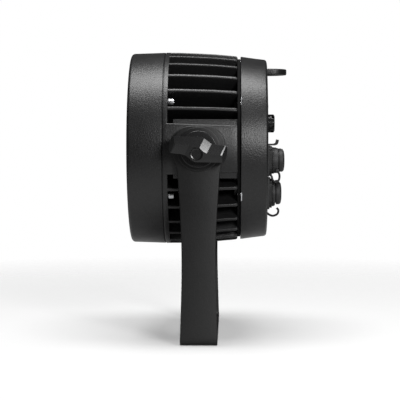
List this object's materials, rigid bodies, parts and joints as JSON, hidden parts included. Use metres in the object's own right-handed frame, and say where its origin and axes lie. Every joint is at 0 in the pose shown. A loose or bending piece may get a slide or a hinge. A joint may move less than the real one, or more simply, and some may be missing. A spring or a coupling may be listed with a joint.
{
  "type": "par can light",
  "caption": "Compact sealed LED par can: finned round head with a deep front ring, tilting in a U-shaped yoke between wing knobs, capped connectors at the back.",
  "frame": {"origin": "centre of the clamp hole, on the underside of the yoke's crossbar", "axes": "+Z from the crossbar up to the tilt axis; the lens faces -Y, the connectors face +Y, and the tilt axis runs along X"},
  "size_m": [0.249, 0.1532, 0.2788],
  "materials": {
    "black_powder_coat_casting": "matte",
    "black_powder_coat_steel": "matte",
    "black_steel": "satin",
    "bright_steel": "satin",
    "knob_plastic": "satin",
    "black_plastic": "matte",
    "black_rubber": "matte",
    "clear_glass": "gloss",
    "clear_plastic": "gloss",
    "led_board": "satin",
    "circuit_board": "satin",
    "fibre": "matte"
  },
  "bodies": {
    "yoke": {"yoke_bracket": "black_powder_coat_steel", "knob_washer_right": "black_steel", "knob_washer_left": "black_steel"},
    "head": {"front_bezel": "black_powder_coat_casting", "heatsink_housing": "black_powder_coat_casting", "rear_cover": "black_powder_coat_casting", "safety_loop": "black_powder_coat_casting", "bezel_screw_1": "bright_steel", "bezel_screw_2": "bright_steel", "bezel_screw_3": "bright_steel", "bezel_screw_4": "bright_steel", "bezel_screw_5": "bright_steel", "bezel_screw_6": "bright_steel", "cover_stud_1": "bright_steel", "cover_stud_2": "bright_steel", "cover_stud_3": "bright_steel", "cover_stud_4": "bright_steel", "cover_stud_5": "bright_steel", "cover_stud_6": "bright_steel", "lens_plate": "black_plastic", "vent_plug": "black_plastic", "power_in": "black_plastic", "power_out": "black_plastic", "dmx_in": "black_plastic", "dmx_out": "black_plastic", "power_supply": "black_plastic", "glass_gasket": "black_rubber", "front_seal": "black_rubber", "rear_seal": "black_rubber", "power_in_strap": "black_rubber", "power_out_strap": "black_rubber", "dmx_in_strap": "black_rubber", "dmx_out_strap": "black_rubber", "front_glass": "clear_glass", "display_window": "clear_plastic", "lens_1": "clear_plastic", "lens_2": "clear_plastic", "lens_3": "clear_plastic", "lens_4": "clear_plastic", "lens_5": "clear_plastic", "lens_6": "clear_plastic", "lens_7": "clear_plastic", "led_board": "led_board", "driver_board": "circuit_board", "control_board": "circuit_board", "friction_disc_right": "fibre", "friction_disc_left": "fibre"},
    "knob_right_turning": {"knob_right": "knob_plastic", "knob_stud_right": "bright_steel"},
    "knob_left_turning": {"knob_left": "knob_plastic", "knob_stud_left": "bright_steel"},
    "power_in_cap_lifting": {"power_in_cap": "black_rubber"},
    "power_out_cap_lifting": {"power_out_cap": "black_rubber"},
    "dmx_in_cap_lifting": {"dmx_in_cap": "black_rubber"},
    "dmx_out_cap_lifting": {"dmx_out_cap": "black_rubber"},
    "button_1_pressing": {"button_1": "black_plastic"},
    "button_2_pressing": {"button_2": "black_plastic"},
    "button_3_pressing": {"button_3": "black_plastic"},
    "button_4_pressing": {"button_4": "black_plastic"}
  },
  "joints": [
    {"name": "head_tilt", "type": "hinge", "parent": "yoke", "child": "head", "pos_m": [0, 0, 0.184], "axis": [1, 0, 0], "range_deg": [-180, 180]},
    {"name": "knob_turn_right", "type": "hinge", "parent": "head", "child": "knob_right_turning", "pos_m": [0.11, 0, 0.184], "axis": [1, 0, 0], "range_deg": [0, 180]},
    {"name": "knob_turn_left", "type": "hinge", "parent": "head", "child": "knob_left_turning", "pos_m": [-0.11, 0, 0.184], "axis": [-1, 0, 0], "range_deg": [0, 180]},
    {"name": "power_in_cap_pull", "type": "slide", "parent": "head", "child": "power_in_cap_lifting", "axis": [0, 1, 0], "range_m": [0, 0.014], "deforming": ["power_in_strap"]},
    {"name": "power_out_cap_pull", "type": "slide", "parent": "head", "child": "power_out_cap_lifting", "axis": [0, 1, 0], "range_m": [0, 0.014], "deforming": ["power_out_strap"]},
    {"name": "dmx_in_cap_pull", "type": "slide", "parent": "head", "child": "dmx_in_cap_lifting", "axis": [0, 1, 0], "range_m": [0, 0.014], "deforming": ["dmx_in_strap"]},
    {"name": "dmx_out_cap_pull", "type": "slide", "parent": "head", "child": "dmx_out_cap_lifting", "axis": [0, 1, 0], "range_m": [0, 0.014], "deforming": ["dmx_out_strap"]},
    {"name": "button_1_press", "type": "slide", "parent": "head", "child": "button_1_pressing", "axis": [0, -1, 0], "range_m": [0, 0.001], "stiffness_N_per_m": 800, "springref_m": -0.0006},
    {"name": "button_2_press", "type": "slide", "parent": "head", "child": "button_2_pressing", "axis": [0, -1, 0], "range_m": [0, 0.001], "stiffness_N_per_m": 800, "springref_m": -0.0006},
    {"name": "button_3_press", "type": "slide", "parent": "head", "child": "button_3_pressing", "axis": [0, -1, 0], "range_m": [0, 0.001], "stiffness_N_per_m": 800, "springref_m": -0.0006},
    {"name": "button_4_press", "type": "slide", "parent": "head", "child": "button_4_pressing", "axis": [0, -1, 0], "range_m": [0, 0.001], "stiffness_N_per_m": 800, "springref_m": -0.0006}
  ]
}
